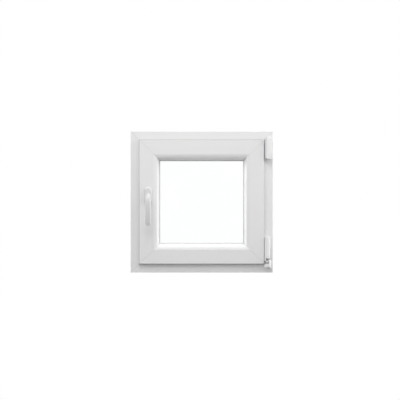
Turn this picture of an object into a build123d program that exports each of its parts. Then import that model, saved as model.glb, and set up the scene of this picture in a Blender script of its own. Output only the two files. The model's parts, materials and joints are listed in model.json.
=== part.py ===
"""Inward-opening tilt-and-turn window: one STEP file for each piece.

X runs to the right as seen from the room, Y runs from the room to the outside, Z is up.
The origin is the centre of the sill face under the outer frame. Profile sections are drawn in (u, v):
u is measured in from the outer edge of the frame, v from the room face of the frame to the outside.
"""
import os
from math import acos, cos, hypot, pi, radians, sin, sqrt, tan

from build123d import *

os.makedirs("parts", exist_ok=True)

# Outer frame
FRAME_W = 570
FRAME_H = 565
FRAME_STOP = 10
FRAME_LEG = 43
KEEP_SEAT = 24
DRAIN_STEP = 4
DRAIN_FALL = 2
STOP_EDGE = 4
STOP_SLOPE = 5
CLIP_W = 7
CLIP_DEEP = 3.5
CLIP_INSET = 12
STEEL_SETBACK = 6
STEEL_TO_STOP = 14

# Sash section
AIR_GAP = 12
OVERLAP = 20
LIP_THICK = 10.5
SEAL_GAP = 3.5
SASH_DEPTH = 70
SASH_FACE = 57.5
STOP_THICK = 10
STOP_LAP = 10.5
OUTER_GAP = 4
SASH_CHAMFER = 2
GLAZE_EDGE = 4
GLAZE_SLOPE = 10
GROOVE_SETBACK = 13
GROOVE_W = 12
GROOVE_DEEP = 12
PLATE_W = 15.6
PLATE_T = 2.5
SASH_STEEL_RUN = 13

# Walls and edges of both profiles
WALL = 2.8
WEB = 2
STEEL_T = 1.5
STEEL_END = 12
ARRIS = 1.5
WELD = 1.1

# Seals
SEAL_W = 3
SEAL_DEEP = 2.4
SEAL_SETBACK = 5.5
SEAL_LEDGE = 1
SEAL_LIP_T = 1.6
SEAL_PLAY = 0.5
LIP_SEAL_IN = 3.5
GASKET_SHOW = 3.6
GASKET_TIP = 0.5

# Glazing
BEAD_W = 22
PANE = 4
CAVITY = 16
GLAZE_SEAL = 4
BEAD_SEAL = 3
PACKER = 5
PACKER_LONG = 80
SEALANT = 5
SPACER = 7
SPACER_WALL = 1
BEAD_FACE = 13
BEAD_START = radians(12)
BEAD_SLOPE = radians(23)
BEAD_NOSE_R = 2.5
BEAD_TOE = 5
BEAD_WALL = 2.2
FOOT_W = 4
FOOT_DEEP = 3
FOOT_SETBACK = 0.5

# Gear
HANDLE_Z = 308
RACK_PITCH = 6
TEETH = 12
PRESSURE = radians(20)
BACKLASH = 0.3
TIP_PLAY = 0.1
ROOT_PLAY = 0.35
SPARE_SLOTS = 2
ROD_W = 9
ROD_T = 2.5
ROD_END = 4.5
ROD_HEAD = 12
ROD_CLEAR = 5.5
ROD_TAIL = 25
PINION_T = 4.8
HUB_R = 6
SPINDLE = 7
CASE_HALF = 32
CASE_WALL = 3.5
CASE_PLAY = 0.2
PLATE_TAIL = 60
CORNER_LEG = 35

# Handle
SCREW_PITCH = 21.5
HANDLE_SCREW_R = 2.4
HANDLE_HEAD_R = 4.5
HANDLE_HEAD_T = 2.4
ROSETTE_W = 31
ROSETTE_H = 67
ROSETTE_T = 11
ROSETTE_WALL = 1.6
ROSETTE_ROUND = 6
BASE_T = 5
NECK_R = 10
JOURNAL_R = 8
BOSS_R = 5
SPINDLE_REACH = 24

# Lever stations: distance from the sash face, drop, turn of the path, width, thickness and corner radius
LEVER = (
    (12, 0, 0, 20, 20, 9.6),
    (24, 0, 4, 20, 19, 9),
    (38, -5, 45, 20.5, 17.5, 8),
    (45, -19, 80, 21.5, 15, 6.9),
    (46, -50, 92, 22, 13, 6),
    (42.5, -84, 98, 21.5, 11.5, 5.3),
    (36.5, -112, 104, 20, 10, 4.6),
    (34.8, -119, 104, 13, 5, 2.2),
)

# Cams and keeps
CAM_R = 3
CAM_HEAD_R = 4.5
CAM_HEAD_T = 2.2
CAM_TIP_GAP = 0.7
RIVET_R = 2.2
CAM_LOW = 7.5
TOP_CAM_U = 135
KEEP_T = 2
KEEP_EDGE = 0.6
KEEP_W = 16.4
KEEP_LIP_T = 1.4
KEEP_LIP_HALF = 7
KEEP_LIP_DEEP = 3
KEEP_PLAY = 0.35
KEEP_POST = 4
POST_CLEAR = 2
TOP_KEEP_NEAR = 15
TOP_KEEP_FAR = 24
TILT_KEEP_OVER = 20

# Upper hinge and stay
HINGE_OUT = 13
HINGE_V = -12
TILT_RISE = 8.5
TILT_MAX = radians(11)
KNUCKLE_R = 11
PIN_R = 3.5
PIN_HEAD = 2
PIN_TAIL = 1
STAY_H = 76
STAY_EAR = 15
LEAF_T = 2.3
LEAF_DROP = 18
PLATE_BASE = 3
BASE_IN = 7
BASE_OUT = 15
STAY_LONG = 240
STAY_T = 3
STAY_CLEAR = 0.8
ELBOW_W = 8.5
ELBOW_CLEAR = 1.5
LINK_AT = 175
LINK_LONG = 70
LINK_T = 2.4
STAY_PIN_R = 3
STAY_PIN_CLEAR = 3.5
LINK_HEAD_R = 4.6
LINK_HEAD_T = 1.2
GUIDE_TAIL = 20
GUIDE_END = 2
SLOT_PLAY = 1.2
STAY_SLOT = (-2, 11)
LINK_SLOT = (-4, 1)

# Lower hinge
CUP_R = 9.5
CUP_DROP = 21
CUP_FLOOR = 3
CUP_NECK = 6
PIVOT_R = 5
FLANGE_T = 1
CROSS_R = 2.5
EYE_R = 7.5
EYE_HALF = 5.2
CHEEK_T = 3
CHEEK_WALL = 2.5
CROWN = 3
BARREL_R = 7.5
BARREL_TOP = 140
BAND_LOW = 14
BAND_HIGH = 10
BAND_REACH = 4

# Hinge covers
COVER_R = 11.4
COVER_T = 1.2
COVER_ROUND = 1.1
SKIRT_IN = 5.5
SKIRT_LOW = 3.5
CUP_COVER_R = 12
FLAP_T = 4
SHROUD_R = 15
SHROUD_T = 1.6
SHROUD_TOP = 9
SHELL_EDGE = 2.5
SHELL_ROUND = 5

# Screws, wall fixings and drains
SCREW_R = 1.9
SCREW_HEAD_R = 3
SCREW_HEAD_T = 1.5
SCREW_LONG = 26
SCREW_INSET = 4.5
STAY_SCREWS = 26
BAND_SCREWS = 36
CUP_SCREW_INSET = 3.6
BASE_SCREW_INSET = 3.4
SIDE_SCREW_LOW = 55
SIDE_SCREW_HIGH = 92
TOP_SCREW = 45
GUIDE_SCREW = 62
GUIDE_SCREW_END = 8
FIX_R = 3.9
FIX_END = 110
DRAIN_X = 150
DRAIN_W = 26
DRAIN_H = 5
DRAIN_Z = 12
HOOD_T = 1.2
HOOD_RIM = 4
HOOD_DEEP = 3.5

# Clearances
RUN = 0.05
GAP = 0.3
SLIDE = 0.75
REACH = 20

# Places that follow from the sizes above
SASH_REBATE = FRAME_LEG + AIR_GAP
SASH_EDGE = SASH_REBATE - OVERLAP
ROOM = -(SEAL_GAP + LIP_THICK)
LIP_BACK = -SEAL_GAP
SASH_OUT = ROOM + SASH_DEPTH
STOP_IN = SASH_OUT + OUTER_GAP
FRAME_DEPTH = STOP_IN + FRAME_STOP
STOP_TOP = SASH_REBATE + STOP_LAP
GLAZE_STOP = SASH_OUT - STOP_THICK
BEAD_EDGE = SASH_EDGE + SASH_FACE
SIGHT = BEAD_EDGE + BEAD_W
UNIT_OUT = GLAZE_STOP - GLAZE_SEAL
UNIT_IN = UNIT_OUT - 2 * PANE - CAVITY
BEAD_BACK = UNIT_IN - BEAD_SEAL
GLASS_EDGE = BEAD_EDGE + PACKER
GROOVE_V = LIP_BACK + GROOVE_SETBACK
GROOVE_U = SASH_REBATE + GROOVE_DEEP
PLATE_U = SASH_REBATE + PLATE_T
ROD_U = PLATE_U + GAP
PITCH_R = RACK_PITCH * TEETH / (2 * pi)
TRAVEL = pi * PITCH_R
HANDLE_U = ROD_U + ROD_T / 2 + PITCH_R
HANDLE_X = HANDLE_U - FRAME_W / 2
TURN_X = FRAME_W / 2 - SASH_EDGE + HINGE_OUT
TILT_Z = SASH_EDGE + TILT_RISE
KEEP_U = FRAME_LEG + KEEP_T
CAM_TIP_U = KEEP_U + CAM_TIP_GAP
LIP_U = CAM_TIP_U + CAM_HEAD_T + 2 * GAP
SWING_TOP = TILT_Z + hypot(SASH_OUT - SASH_CHAMFER - HINGE_V, FRAME_H - SASH_REBATE - TILT_Z)
SIDES = ("bottom", "top", "left", "right")

nodes = {}


def left(u):
    return u - FRAME_W / 2


def right(u):
    return FRAME_W / 2 - u


def top(u):
    return FRAME_H - u


def y_at(v):
    return v - FRAME_DEPTH / 2


def span(centre, half):
    return (centre - half, centre + half)


def block(x, v, z):
    """Box between two x, two v and two z values."""
    centre = Pos(sum(x) / 2, y_at(sum(v) / 2), sum(z) / 2)
    return centre * Box(abs(x[1] - x[0]), abs(v[1] - v[0]), abs(z[1] - z[0]))


def round_x(radius, x, v, z):
    """Cylinder along X between two x values."""
    return Pos(sum(x) / 2, y_at(v), z) * Rot(0, 90, 0) * Cylinder(radius, abs(x[1] - x[0]))


def round_y(radius, x, v, z):
    """Cylinder along Y between two v values."""
    return Pos(x, y_at(sum(v) / 2), z) * Rot(90, 0, 0) * Cylinder(radius, abs(v[1] - v[0]))


def round_z(radius, x, v, z):
    """Cylinder along Z between two z values."""
    return Pos(x, y_at(v), sum(z) / 2) * Cylinder(radius, abs(z[1] - z[0]))


def hinge_round(radius, z):
    """Cylinder on the turning axis of the sash."""
    return round_z(radius, TURN_X, HINGE_V, z)


def rect(u, v):
    return Pos(sum(u) / 2, sum(v) / 2) * Rectangle(abs(u[1] - u[0]), abs(v[1] - v[0]))


def outline(*points):
    return make_face(Polyline(*points, close=True))


def soften(section, radius, *points):
    """Round the section's corners that are nearest to the given points."""
    for point in points:
        vertex = section.vertices().sort_by_distance((point[0], point[1], 0))[0]
        section = fillet(vertex, radius)
    return section


def frame_plane(side):
    """Plane whose X is u, whose Y is v and whose Z runs along one side of the frame."""
    if side == "left":
        return Plane((left(0), y_at(0), 0), x_dir=(1, 0, 0), z_dir=(0, 0, 1))
    if side == "right":
        return Plane((right(0), y_at(0), FRAME_H), x_dir=(-1, 0, 0), z_dir=(0, 0, -1))
    if side == "bottom":
        return Plane((right(0), y_at(0), 0), x_dir=(0, 0, 1), z_dir=(-1, 0, 0))
    return Plane((left(0), y_at(0), FRAME_H), x_dir=(0, 0, -1), z_dir=(1, 0, 0))


def side_length(side):
    return FRAME_H if side in ("left", "right") else FRAME_W


def mitred(section, side):
    """Section carried along one side and cut at 45 degrees at both ends."""
    length = side_length(side)
    bar = extrude(section, length)
    bar = split(bar, Plane((0, 0, 0), x_dir=(0, 1, 0), z_dir=(-1, 0, 1)), keep=Keep.TOP)
    bar = split(bar, Plane((0, 0, length), x_dir=(0, 1, 0), z_dir=(-1, 0, -1)), keep=Keep.TOP)
    return frame_plane(side).location * bar


def straight(section, side, inset):
    """Section carried along one side, cut square at a distance from both ends."""
    bar = Pos(0, 0, inset) * extrude(section, side_length(side) - 2 * inset)
    return frame_plane(side).location * bar


def loop(section):
    return Compound(children=[mitred(section, side) for side in SIDES])


def together(*shapes):
    return Compound(children=list(shapes))


def weld_lines(u0, u1, v):
    """Square bars along the four mitres; each cuts a shallow weld groove in the face at v."""
    bars = []
    for sx in (-1, 1):
        for sz in (-1, 1):
            mid = (u0 + u1) / 2
            centre = (sx * (FRAME_W / 2 - mid), y_at(v), FRAME_H / 2 + sz * (FRAME_H / 2 - mid))
            plane = Plane(centre, x_dir=(sx, 0, sz), z_dir=(0, 1, 0))
            bars.append(plane.location * Rot(45, 0, 0) * Box((u1 - u0) * sqrt(2), WELD, WELD))
    return bars


def stadium(width, height, x, v, z):
    """Upright rounded-end plate between two v values."""
    face = Plane((x, y_at(v[0]), z), x_dir=(0, 0, 1), z_dir=(0, 1, 0)) * SlotOverall(height, width)
    return extrude(face, v[1] - v[0], dir=(0, 1, 0))


def slot_x(radius, x, v, z):
    """Cutter along X for a rounded slot that runs up Z."""
    return block(x, span(v, radius), z) + round_x(radius, x, v, z[0]) + round_x(radius, x, v, z[1])


def slot_z(radius, x, v, z):
    """Cutter along Z for a rounded slot that runs along X."""
    return block(x, span(v, radius), z) + round_z(radius, x[0], v, z) + round_z(radius, x[1], v, z)


# Frame profile
floor_u = FRAME_LEG - DRAIN_STEP - DRAIN_FALL
seal_u = (STOP_TOP - SEAL_SETBACK - SEAL_W, STOP_TOP - SEAL_SETBACK)
steel_v = (KEEP_SEAT - STEEL_SETBACK, STOP_IN - STEEL_TO_STOP)
core_u = CLIP_DEEP + WALL
frame_section = outline(
    (0, 0), (FRAME_LEG, 0), (FRAME_LEG, KEEP_SEAT), (FRAME_LEG - DRAIN_STEP, KEEP_SEAT + DRAIN_STEP),
    (floor_u, STOP_IN), (STOP_TOP, STOP_IN), (STOP_TOP, STOP_IN + STOP_EDGE),
    (STOP_TOP - STOP_SLOPE, FRAME_DEPTH), (0, FRAME_DEPTH))
frame_section = soften(frame_section, ARRIS / 2, (0, 0), (FRAME_LEG, 0), (0, FRAME_DEPTH))
frame_section -= rect(seal_u, (STOP_IN, STOP_IN + SEAL_DEEP))
for clip_v in (CLIP_INSET, FRAME_DEPTH - CLIP_INSET):
    frame_section -= rect((0, CLIP_DEEP), span(clip_v, CLIP_W / 2))
frame_section -= rect((core_u, FRAME_LEG - WALL), (WALL, steel_v[0] - WEB))
frame_section -= rect((core_u, floor_u - WALL), steel_v)
frame_section -= rect((core_u, floor_u - WALL), (steel_v[1] + WEB, STOP_IN - WALL))
frame_section -= rect((core_u, seal_u[0] - WALL), (STOP_IN + WEB, FRAME_DEPTH - WALL))

# Sash profile
groove = span(GROOVE_V, GROOVE_W / 2)
seat = span(GROOVE_V, PLATE_W / 2 + GAP)
foot_v = (LIP_BACK + FOOT_SETBACK, LIP_BACK + FOOT_SETBACK + FOOT_W)
lip_seal_u = (SASH_EDGE + LIP_SEAL_IN, SASH_EDGE + LIP_SEAL_IN + SEAL_W)
glaze_seal_u = (SIGHT - SEAL_SETBACK - SEAL_W, SIGHT - SEAL_SETBACK)
sash_section = outline(
    (SASH_EDGE, ROOM), (BEAD_EDGE, ROOM), (BEAD_EDGE, GLAZE_STOP), (SIGHT, GLAZE_STOP),
    (SIGHT, GLAZE_STOP + GLAZE_EDGE), (SIGHT - GLAZE_SLOPE, SASH_OUT),
    (SASH_REBATE + SASH_CHAMFER, SASH_OUT), (SASH_REBATE, SASH_OUT - SASH_CHAMFER),
    (SASH_REBATE, LIP_BACK), (SASH_EDGE, LIP_BACK))
sash_section = soften(sash_section, ARRIS, (SASH_EDGE, ROOM))
sash_section = soften(sash_section, ARRIS / 3, (BEAD_EDGE, ROOM))
sash_section -= rect((SASH_REBATE, PLATE_U), seat)
sash_section -= rect((PLATE_U, GROOVE_U), groove)
sash_section -= rect((BEAD_EDGE - FOOT_DEEP, BEAD_EDGE), foot_v)
sash_section -= rect(lip_seal_u, (LIP_BACK - SEAL_DEEP, LIP_BACK))
sash_section -= rect(glaze_seal_u, (GLAZE_STOP, GLAZE_STOP + SEAL_DEEP))
sash_core_u = SASH_REBATE + WALL
sash_steel_u = GROOVE_U + WALL
inner_u = BEAD_EDGE - WALL
sash_steel_v = (seat[0] + GAP, seat[1] + SASH_STEEL_RUN)
front = rect((lip_seal_u[1] + WALL, inner_u - FOOT_DEEP), (ROOM + WALL, LIP_BACK - WALL))
front += rect((sash_core_u, inner_u - FOOT_DEEP), (LIP_BACK - WALL, seat[0] - WEB))
sash_section -= front
sash_section -= rect((sash_steel_u, inner_u), sash_steel_v)
sash_section -= rect((sash_core_u, sash_steel_u - WEB), (seat[1] + WEB, sash_steel_v[1]))
sash_section -= rect((sash_core_u, inner_u), (sash_steel_v[1] + WEB, GLAZE_STOP))
stop_core_v = (GLAZE_STOP + SEAL_DEEP + WEB, SASH_OUT - WALL)
sash_section -= rect((sash_core_u, SIGHT - GLAZE_SLOPE - WALL), stop_core_v)

# Mitred rails and stiles
frame_rails = {side: mitred(frame_section, side) for side in SIDES}
sash_rails = {side: mitred(sash_section, side) for side in SIDES}
for side in SIDES:
    for groove_bar in weld_lines(0, FRAME_LEG, 0):
        frame_rails[side] -= groove_bar
    for groove_bar in weld_lines(SASH_EDGE, BEAD_EDGE, ROOM):
        sash_rails[side] -= groove_bar

# Steel channels in the profiles
frame_steel_u = floor_u - WALL - GAP
frame_steel_v = (steel_v[0], steel_v[1] - GAP)
frame_channel = rect((core_u, frame_steel_u), frame_steel_v)
frame_channel -= rect(
    (core_u, frame_steel_u - STEEL_T), (frame_steel_v[0] + STEEL_T, frame_steel_v[1] - STEEL_T))
frame_steel = {side: straight(frame_channel, side, floor_u + STEEL_END) for side in SIDES}
sash_back_v = sash_steel_v[1] - GAP
sash_channel = rect((sash_steel_u, inner_u - GAP), (sash_steel_v[0], sash_back_v))
sash_channel -= rect((sash_steel_u + STEEL_T, inner_u), (sash_steel_v[0] + STEEL_T, sash_back_v - STEEL_T))
sash_steel = {side: straight(sash_channel, side, BEAD_EDGE + STEEL_END) for side in SIDES}

# Seals
frame_seal = rect(seal_u, (STOP_IN, STOP_IN + SEAL_DEEP))
frame_seal += outline(
    (seal_u[0] - SEAL_LEDGE, STOP_IN), (seal_u[1] + SEAL_LEDGE, STOP_IN),
    (seal_u[1] + 2 * SEAL_LIP_T, SASH_OUT + SEAL_LIP_T), (seal_u[1] + SEAL_LIP_T, SASH_OUT + GAP),
    (sum(seal_u) / 2, SASH_OUT + SEAL_LIP_T))
nodes["frame_seal"] = loop(frame_seal)
lip_seal = rect(lip_seal_u, (LIP_BACK - SEAL_DEEP, LIP_BACK))
lip_seal += outline(
    (lip_seal_u[0] - SEAL_LEDGE, LIP_BACK), (lip_seal_u[1] + SEAL_LEDGE, LIP_BACK),
    (lip_seal_u[1] + SEAL_LEDGE, -SEAL_PLAY), (lip_seal_u[1] + SEAL_LEDGE - SEAL_LIP_T, -SEAL_PLAY))
sash_seal = {side: mitred(lip_seal, side) for side in SIDES}
glaze_seal = rect(glaze_seal_u, (GLAZE_STOP, GLAZE_STOP + SEAL_DEEP))
glaze_seal += outline(
    (glaze_seal_u[0] - SEAL_LEDGE, UNIT_OUT), (SIGHT + GASKET_SHOW, UNIT_OUT),
    (SIGHT + GASKET_SHOW, UNIT_OUT + GASKET_TIP), (SIGHT, GLAZE_STOP),
    (glaze_seal_u[0] - SEAL_LEDGE, GLAZE_STOP))
nodes["glazing_seal"] = loop(glaze_seal)
bead_seal = outline(
    (SIGHT - SEAL_SETBACK, BEAD_BACK), (SIGHT, BEAD_BACK),
    (SIGHT + GASKET_SHOW / 2, BEAD_BACK + GASKET_TIP), (SIGHT + GASKET_SHOW, UNIT_IN - GASKET_TIP),
    (SIGHT + GASKET_SHOW, UNIT_IN), (SIGHT - SEAL_SETBACK, UNIT_IN))
nodes["bead_seal"] = loop(bead_seal)

# Double-glazed unit on packers
unit_w = FRAME_W - 2 * GLASS_EDGE
unit_h = FRAME_H - 2 * GLASS_EDGE
glass_x = (left(GLASS_EDGE), right(GLASS_EDGE))
glass_z = (GLASS_EDGE, top(GLASS_EDGE))
nodes["inner_pane"] = block(glass_x, (UNIT_IN, UNIT_IN + PANE), glass_z)
nodes["outer_pane"] = block(glass_x, (UNIT_OUT - PANE, UNIT_OUT), glass_z)
cavity_v = (UNIT_IN + PANE, UNIT_OUT - PANE)
spacer_u = (GLASS_EDGE + SEALANT, GLASS_EDGE + SEALANT + SPACER)
nodes["edge_sealant"] = loop(rect((GLASS_EDGE, spacer_u[0]), cavity_v))
spacer_section = rect(spacer_u, cavity_v)
spacer_section -= rect(
    (spacer_u[0] + SPACER_WALL, spacer_u[1] - SPACER_WALL),
    (cavity_v[0] + SPACER_WALL, cavity_v[1] - SPACER_WALL))
nodes["spacer_bars"] = loop(spacer_section)
packers = []
for sign in (-1, 1):
    across_x = span(sign * (unit_w / 2 - PACKER_LONG), PACKER_LONG / 2)
    across_z = span(FRAME_H / 2 + sign * (unit_h / 2 - PACKER_LONG), PACKER_LONG / 2)
    packers.append(block(across_x, (UNIT_IN, UNIT_OUT), (BEAD_EDGE, GLASS_EDGE)))
    packers.append(block(across_x, (UNIT_IN, UNIT_OUT), (top(GLASS_EDGE), top(BEAD_EDGE))))
    packers.append(block((left(BEAD_EDGE), left(GLASS_EDGE)), (UNIT_IN, UNIT_OUT), across_z))
    packers.append(block((right(GLASS_EDGE), right(BEAD_EDGE)), (UNIT_IN, UNIT_OUT), across_z))
nodes["glazing_packers"] = together(*packers)

# Glazing beads: a crowned face that falls towards the glass, a rounded nose and a steep inner wall
bead_start = (BEAD_EDGE, ROOM + ARRIS / 3)
bead_nose = (BEAD_EDGE + BEAD_FACE, bead_start[1] + BEAD_FACE * tan(BEAD_SLOPE))
bead_toe = (SIGHT - WEB / 2, BEAD_BACK - BEAD_TOE)
bead_line = TangentArc(bead_start, bead_nose, tangent=(cos(BEAD_START), sin(BEAD_START)))
bead_line += Polyline(
    bead_nose, bead_toe, (SIGHT, bead_toe[1] + WEB / 2), (SIGHT, BEAD_BACK), (BEAD_EDGE, BEAD_BACK),
    (BEAD_EDGE, foot_v[1]), (BEAD_EDGE - FOOT_DEEP, foot_v[1]), (BEAD_EDGE - FOOT_DEEP, foot_v[0]),
    (BEAD_EDGE, foot_v[0]), bead_start)
bead_section = soften(make_face(bead_line), BEAD_NOSE_R, bead_nose)
bead_section -= outline(
    (BEAD_EDGE + BEAD_WALL, bead_start[1] + 1.5 * BEAD_WALL),
    (bead_nose[0] - BEAD_WALL, bead_nose[1] + BEAD_WALL),
    (bead_toe[0] - 2 * BEAD_WALL, BEAD_BACK - BEAD_WALL),
    (BEAD_EDGE + BEAD_WALL, BEAD_BACK - BEAD_WALL))
for side in SIDES:
    nodes[f"glazing_bead_{side}"] = mitred(bead_section, side)

# Gear pinion with involute teeth
case_v = (groove[0] + CASE_PLAY, groove[1] - CASE_PLAY)
tip_r = PITCH_R + ROD_T / 2 - TIP_PLAY
root_r = PITCH_R - ROD_T / 2 - ROOT_PLAY
base_r = PITCH_R * cos(PRESSURE)


def involute(radius):
    """Involute function of the pressure angle at this radius."""
    angle = acos(min(1, base_r / radius))
    return tan(angle) - angle


def tooth_half(radius):
    """Half of the tooth's angle at this radius."""
    thick = RACK_PITCH / 2 - BACKLASH
    return thick / (2 * PITCH_R) + tan(PRESSURE) - PRESSURE - involute(radius)


flank = [root_r, base_r, (base_r + tip_r) / 2, tip_r]
gear_points = []
for tooth in range(TEETH):
    centre = 2 * pi * tooth / TEETH
    for radius in flank:
        gear_points.append((radius, centre - tooth_half(max(radius, base_r))))
    for radius in reversed(flank):
        gear_points.append((radius, centre + tooth_half(max(radius, base_r))))
gear_face = outline(*[(radius * cos(angle), radius * sin(angle)) for radius, angle in gear_points])
gear_plane = Plane((HANDLE_X, y_at(GROOVE_V), HANDLE_Z), x_dir=(1, 0, 0), z_dir=(0, -1, 0))
pinion = extrude(gear_plane * gear_face, PINION_T / 2, both=True)
pinion += round_y(HUB_R, HANDLE_X, case_v, HANDLE_Z)
square_x = span(HANDLE_X, SPINDLE / 2)
square_z = span(HANDLE_Z, SPINDLE / 2)
pinion -= block(square_x, case_v, square_z)
nodes["gear_pinion"] = pinion

# Gear case in the handle stile
case_u = HANDLE_U + PITCH_R + CASE_WALL
case_z = span(HANDLE_Z, CASE_HALF)
pinion_v = span(GROOVE_V, PINION_T / 2 + GAP)
rod_v = span(GROOVE_V, ROD_W / 2)
channel_v = span(GROOVE_V, ROD_W / 2 + GAP)
case = block((left(PLATE_U), left(case_u)), case_v, case_z)
case -= block((left(PLATE_U), left(ROD_U + ROD_T + GAP)), channel_v, case_z)
case -= round_y(tip_r + 2 * GAP, HANDLE_X, pinion_v, HANDLE_Z)
case -= round_y(HUB_R + RUN, HANDLE_X, case_v, HANDLE_Z)
handle_screw_z = span(HANDLE_Z, SCREW_PITCH)
for z in handle_screw_z:
    case -= round_y(HANDLE_SCREW_R + GAP, HANDLE_X, case_v, z)
nodes["gear_case"] = case

# Side rod with its rack slots and the tilt cam
cam_low_z = SASH_REBATE + CAM_LOW
cam_z = cam_low_z + TRAVEL
rod_x = (left(ROD_U), left(ROD_U + ROD_T))
side_rod = block(rod_x, rod_v, (cam_z - ROD_END, top(SASH_REBATE) - ROD_HEAD))
slot_half = (RACK_PITCH / 2 + BACKLASH) / 2
slope = tan(PRESSURE) * ROD_T / 2
slot_face = outline(
    (-ROD_T / 2, -slot_half + slope), (ROD_T / 2, -slot_half - slope),
    (ROD_T / 2, slot_half + slope), (-ROD_T / 2, slot_half - slope))
slot_count = round(TRAVEL / RACK_PITCH)
for slot in range(-SPARE_SLOTS, slot_count + SPARE_SLOTS + 1):
    centre = (sum(rod_x) / 2, y_at(GROOVE_V), HANDLE_Z + slot * RACK_PITCH)
    slot_plane = Plane(centre, x_dir=(1, 0, 0), z_dir=(0, -1, 0))
    side_rod -= extrude(slot_plane * slot_face, PINION_T / 2 + GAP, both=True)
side_rod -= round_x(RIVET_R + GAP, rod_x, GROOVE_V, cam_z)
nodes["side_rod"] = side_rod
tilt_cam = round_x(CAM_R, (left(CAM_TIP_U), left(ROD_U)), GROOVE_V, cam_z)
tilt_cam += round_x(CAM_HEAD_R, (left(CAM_TIP_U), left(CAM_TIP_U + CAM_HEAD_T)), GROOVE_V, cam_z)
tilt_cam += round_x(RIVET_R, rod_x, GROOVE_V, cam_z)
nodes["tilt_cam"] = tilt_cam

# Top rod and its cam
top_cam_x = left(TOP_CAM_U)
top_rod_z = (top(ROD_U + ROD_T), top(ROD_U))
top_rod = block((left(SASH_REBATE) + TRAVEL + ROD_CLEAR, top_cam_x + ROD_TAIL), rod_v, top_rod_z)
top_rod -= round_z(RIVET_R + GAP, top_cam_x, GROOVE_V, top_rod_z)
nodes["top_rod"] = top_rod
top_cam = round_z(CAM_R, top_cam_x, GROOVE_V, (top(ROD_U), top(CAM_TIP_U)))
top_cam += round_z(CAM_HEAD_R, top_cam_x, GROOVE_V, (top(CAM_TIP_U + CAM_HEAD_T), top(CAM_TIP_U)))
top_cam += round_z(RIVET_R, top_cam_x, GROOVE_V, top_rod_z)
nodes["top_cam"] = top_cam

# Faceplates and corner drive
plate_v = span(GROOVE_V, PLATE_W / 2)
side_plate_x = (left(SASH_REBATE), left(PLATE_U))
top_plate_z = (top(PLATE_U), top(SASH_REBATE))
slot_r = CAM_R + SLIDE
side_plate = block(side_plate_x, plate_v, (SASH_REBATE + GAP, top(SASH_REBATE + CORNER_LEG)))
side_plate -= slot_x(slot_r, side_plate_x, GROOVE_V, (cam_low_z, cam_z))
nodes["side_faceplate"] = side_plate
top_plate = block((left(SASH_REBATE + CORNER_LEG), top_cam_x + PLATE_TAIL), plate_v, top_plate_z)
top_plate -= slot_z(slot_r, (top_cam_x - TRAVEL, top_cam_x), GROOVE_V, top_plate_z)
nodes["top_faceplate"] = top_plate
drive_section = rect((SASH_REBATE, PLATE_U), plate_v)
drive_section += rect((PLATE_U, GROOVE_U - GAP), case_v)
drive_section -= rect((PLATE_U, ROD_U + ROD_T + GAP), channel_v)
corner_x = (left(SASH_REBATE), left(SASH_REBATE + CORNER_LEG))
corner_z = (top(SASH_REBATE + CORNER_LEG), top(SASH_REBATE))
corner_box = block(corner_x, seat, corner_z)
corner_drive = mitred(drive_section, "left") & corner_box
corner_drive += mitred(drive_section, "top") & corner_box
nodes["corner_drive"] = corner_drive

# Stay guide in the top rail's groove
stay_x = TURN_X - STAY_LONG
link_hole_x = TURN_X - LINK_AT
link_x = link_hole_x + LINK_LONG
guide = block((stay_x - GUIDE_TAIL, right(SASH_REBATE) - GUIDE_END), plate_v, top_plate_z)
for pin_x, play in ((stay_x, STAY_SLOT), (link_x, LINK_SLOT)):
    guide -= slot_z(STAY_PIN_R + SLOT_PLAY, (pin_x + play[0], pin_x + play[1]), GROOVE_V, top_plate_z)
nodes["stay_guide"] = guide

# Stay arm on the upper hinge, and the link that steadies it
arm_z = (SWING_TOP + STAY_CLEAR, SWING_TOP + STAY_CLEAR + STAY_T)
stay_top = arm_z[1] + 2 * GAP + STAY_EAR
stay_z = (stay_top - STAY_H, stay_top)
knuckle_z = (stay_z[0] + STAY_EAR + GAP, stay_z[1] - STAY_EAR - GAP)
link_z = (arm_z[0] - GAP - LINK_T, arm_z[0] - GAP)
leaf_v = (-LEAF_T - 2 * GAP, -2 * GAP)
leaf_z = (arm_z[0] - LEAF_DROP, arm_z[1])
elbow_x = (right(FRAME_LEG + ELBOW_CLEAR + ELBOW_W), right(FRAME_LEG + ELBOW_CLEAR))
pin_low = top(GROOVE_U) + STAY_PIN_CLEAR
arm = hinge_round(KNUCKLE_R, knuckle_z)
arm += block((elbow_x[0], TURN_X), leaf_v, leaf_z)
arm += block(elbow_x, (leaf_v[0], groove[1]), arm_z)
arm += slot_z(GROOVE_W / 2, (stay_x, elbow_x[0]), GROOVE_V, arm_z)
arm -= hinge_round(PIN_R + RUN, knuckle_z)
arm -= round_z(STAY_PIN_R + RUN, link_hole_x, GROOVE_V, arm_z)
arm += round_z(STAY_PIN_R, stay_x, GROOVE_V, (pin_low, arm_z[0]))
nodes["stay_arm"] = arm
link = slot_z(GROOVE_W / 2, (link_hole_x, link_x), GROOVE_V, link_z)
link += round_z(STAY_PIN_R, link_hole_x, GROOVE_V, (link_z[0], arm_z[1] + GAP))
link += round_z(LINK_HEAD_R, link_hole_x, GROOVE_V, (arm_z[1] + GAP, arm_z[1] + GAP + LINK_HEAD_T))
link += round_z(STAY_PIN_R, link_x, GROOVE_V, (pin_low, link_z[0]))
nodes["stay_link"] = link

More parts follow.
